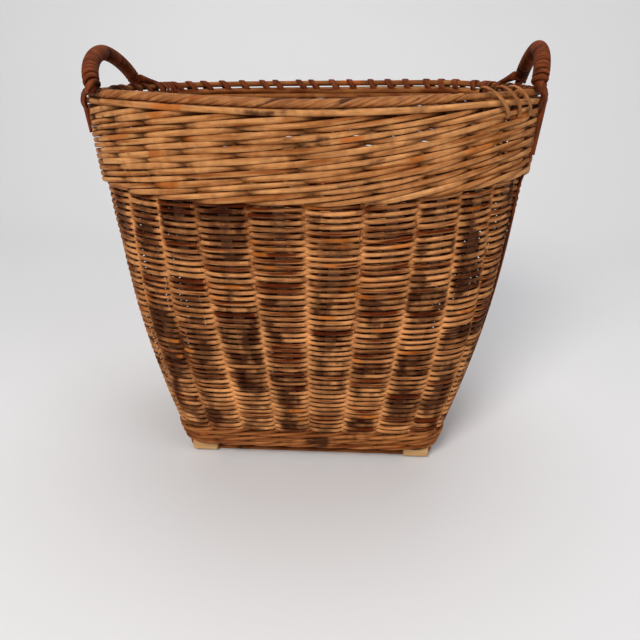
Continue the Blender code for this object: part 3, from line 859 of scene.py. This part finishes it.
def handle_arch(handle):
    """The handle's middle line, from its back foot to its front foot, bowed out over the rim."""
    angles = np.radians(handle["span"])
    feet, outward = flat_frame(angles)
    feet = feet + outward * HANDLE_LINE
    feet[:, 2] = ring_heights(RIM_TOP, angles) + handle["foot"]
    turn = np.linspace(0.0, np.pi, ARCH_POINTS)
    lift = np.sin(turn).clip(0.0) ** ARCH_POWER
    along = np.sign(np.cos(turn)) * np.abs(np.cos(turn)) ** ARCH_POWER
    line = (feet[0] + feet[1]) / 2.0 + (feet[0] - feet[1]) / 2.0 * along[:, None]
    return line + np.outer(lift, (handle["side"] * handle["bow"], 0.0, handle["rise"]))


def handle_leg(handle, foot_point, leg_deg):
    """One leg from its tip, up outside the band, to the foot of the arch."""
    angle = math.radians(leg_deg)
    radius = handle["leg_radius"]
    top = ring_heights(RIM_TOP, np.array([angle]))[0]
    heights = np.linspace(top - LEG_DIP - handle["leg_length"], top - LEG_DIP, LEG_POINTS)
    point, outward, _ = wall_frame(np.full(LEG_POINTS, angle), heights - (top - RIM - LEG_SHIFT))
    low = point + outward * LEG_LINE
    low[:, 2] = heights
    share = np.array(LEG_BEND_SHARES)[:, None]
    high = low[-1] + (foot_point - low[-1]) * share + np.array((0.0, 0.0, LEG_BEND_LIFT)) * (1.0 - share)
    radii = np.concatenate([np.linspace(LEG_TIP_RADIUS, radius, LEG_POINTS),
                            radius + (HANDLE_RADIUS - radius) * share[:, 0]])
    return np.concatenate([low, high]), radii


def across_line(line, side):
    """Directions across a handle's line: away from the basket, and square to that."""
    tangent = unit(np.gradient(line, axis=0))
    outward = np.tile((float(side), 0.0, 0.0), (len(line), 1))
    outward = unit(outward - tangent * (outward * tangent).sum(1)[:, None])
    return outward, np.cross(tangent, outward)


for handle in HANDLES:
    fine = handle_arch(handle)
    lengths = running_length(fine)
    spaced = np.linspace(0.0, lengths[-1], WRAP_TURNS * WRAP_POINTS + 1)
    line = np.stack([np.interp(spaced, lengths, fine[:, axis]) for axis in range(3)], -1)
    pitch = lengths[-1] / WRAP_TURNS
    strands = wound_strands(
        line, *across_line(line, handle["side"]),
        radius=HANDLE_RADIUS + WRAP_HALF_THICKNESS * WRAP_SEAT_SHARE, half_width=pitch * WRAP_WIDTH_SHARE,
        half_thickness=WRAP_HALF_THICKNESS, count=1, turn_length=pitch)
    strands[0]["tone"] = 0.55
    settle(strand_mesh(f"handle_winding_{handle['name']}", strands, 10, dark_finish), "dark_cane",
           f"handle_wrap_{handle['name']}")
    back, back_radii = handle_leg(handle, fine[0], handle["legs"][0])
    front, front_radii = handle_leg(handle, fine[-1], handle["legs"][1])
    core = fine[::CORE_STEP]
    line = np.concatenate([back, core, front[::-1]])
    radii = np.concatenate([back_radii, np.full(len(core), HANDLE_RADIUS), front_radii[::-1]])
    outward, upward = across_line(line, handle["side"])
    strands = [{"line": line, "out": outward, "up": upward, "half_out": radii, "half_up": radii, "tone": 0.4}]
    tail_turn = np.radians(np.linspace(handle["span"][0], handle["tail_end"], TAIL_POINTS))
    tail, tail_out, tail_up = rim_line(tail_turn, 0.0)
    tail[:, 2] += np.linspace(handle["foot"] + TAIL_LIFT, -TAIL_END_DIP, TAIL_POINTS)
    tail_radii = np.linspace(*TAIL_RADII, TAIL_POINTS)
    strands.append({"line": tail, "out": tail_out, "up": tail_up, "half_out": tail_radii,
                    "half_up": tail_radii, "tone": 0.3})
    settle(strand_mesh(f"handle_cane_{handle['name']}", strands, 12, dark_finish), "dark_cane",
           f"handle_core_{handle['name']}")


# The side cane: a thin dark cane that comes out under the band below the right handle's front leg, and runs
# down the corner of the wall to the waling.
SIDE_CANE_RADIUS = 0.0011
SIDE_CANE_TURN = (-28.0, -36.5)
SIDE_CANE_SPAN = (0.272, 0.030)
SIDE_CANE_LINE = (0.0040, -0.0012)
SIDE_CANE_POINTS = 41
SIDE_CANE_BEND_SHARE = 0.125

share = np.linspace(0.0, 1.0, SIDE_CANE_POINTS)
angles = np.radians(SIDE_CANE_TURN[0] + (SIDE_CANE_TURN[1] - SIDE_CANE_TURN[0]) * share)
heights = SIDE_CANE_SPAN[0] + (SIDE_CANE_SPAN[1] - SIDE_CANE_SPAN[0]) * share
point, outward, _ = wall_frame(angles, heights)
bent = np.clip(1.0 - share / SIDE_CANE_BEND_SHARE, 0.0, 1.0)
offset = SIDE_CANE_LINE[1] + (SIDE_CANE_LINE[0] - SIDE_CANE_LINE[1]) * bent
line = point + outward * offset[:, None]
sideways = np.cross(unit(np.gradient(line, axis=0)), outward)
strands = [{"line": line, "out": outward, "up": unit(sideways), "half_out": SIDE_CANE_RADIUS,
            "half_up": SIDE_CANE_RADIUS, "tone": 0.2}]
settle(strand_mesh("side_cane", strands, 8, dark_finish), "dark_cane")


# The lashings: turns of flat cane tie each leg of a handle to the rim. Three paler turns bind the end of the
# rim's winding at the right.
LASHING_TURNS = 3
LASHING_POINTS = 32
LASHING_SETBACK = 0.0030
LASHING_HALF_WIDTH = 0.0015
LASHING_LEANS = (0.5, 1.2)
BACK_LASHING_SHIFT_DEG = 3.0
RIM_END_LASHING_DEG = -43.0


def rim_loops(middle_deg, spacing, lean, across, tall, dip):
    """Closed turns of cane round the rim, side by side, each leaning along the rim."""
    found = []
    for number in range(LASHING_TURNS):
        middle = math.radians(middle_deg) + spacing * (number - (LASHING_TURNS - 1) / 2.0)
        found.append(rim_loop(middle, lean * dice.uniform(*LASHING_LEANS), LASHING_POINTS,
                              setback=LASHING_SETBACK, across=across, tall=tall, dip=dip,
                              half_width=LASHING_HALF_WIDTH))
    return found


for handle in HANDLES:
    back_deg = handle["tail_end"] + handle["side"] * BACK_LASHING_SHIFT_DEG
    for end_name, leg_deg in (("back", back_deg), ("front", handle["legs"][1])):
        strands = rim_loops(leg_deg, spacing=0.026, lean=0.020, across=0.0088, tall=0.0085, dip=0.0078)
        settle(strand_mesh(f"lashing_turns_{end_name}_{handle['name']}", strands, 8, dark_finish, 0.6),
               "dark_cane", f"leg_lashing_{end_name}_{handle['name']}")
strands = rim_loops(RIM_END_LASHING_DEG, spacing=0.080, lean=-0.060, across=0.0085, tall=0.0105, dip=0.0085)
settle(strand_mesh("rim_end_lashing", strands, 8, rope_finish, 0.6), "rope_cane")


# The feet and runners: four sawn blocks of bare light wood stand under the corners, each pair on a bent
# brown cane that turns up outside them.
refinish(block_finish("foot_wood", pale=(0.66, 0.40, 0.17), deep=(0.42, 0.215, 0.075),
                      grain_scales=(14.0, 240.0, 240.0), gloss=0.55),
         *[f"foot_{end}_{side}" for end in ("front", "back") for side in ("left", "right")])
RUNNER_CORNER = 0.007
RUNNER_CORNER_POINTS = 9
RUNNER_POINTS = 24
RUNNER_HALF_THICKNESS = 0.0015

for end_name in ("front", "back"):
    least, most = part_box(f"runner_{end_name}")
    inside = most.x - RUNNER_HALF_THICKNESS
    turn = np.linspace(-np.pi / 2.0, 0.0, RUNNER_CORNER_POINTS)
    arc = np.stack([inside - RUNNER_CORNER + RUNNER_CORNER * np.cos(turn),
                    RUNNER_HALF_THICKNESS + RUNNER_CORNER + RUNNER_CORNER * np.sin(turn)], -1)
    straight = np.linspace(-(inside - RUNNER_CORNER), inside - RUNNER_CORNER, RUNNER_POINTS)
    half = [(x, z) for x, z in arc] + [(inside, most.z)]
    path = [(-x, z) for x, z in half[::-1]] + [(x, RUNNER_HALF_THICKNESS) for x in straight[1:-1]] + half
    line = np.array([(x, (least.y + most.y) / 2.0, z) for x, z in path])
    tangent = unit(np.gradient(line, axis=0))
    sideways = np.tile((0.0, 1.0, 0.0), (len(line), 1))
    strands = [{"line": line, "out": unit(np.cross(tangent, sideways)), "up": sideways,
                "half_out": RUNNER_HALF_THICKNESS, "half_up": (most.y - least.y) / 2.0, "tone": 0.3}]
    settle(strand_mesh(f"runner_cane_{end_name}", strands, 12, waling_finish, 0.6), "dark_cane",
           f"runner_{end_name}")
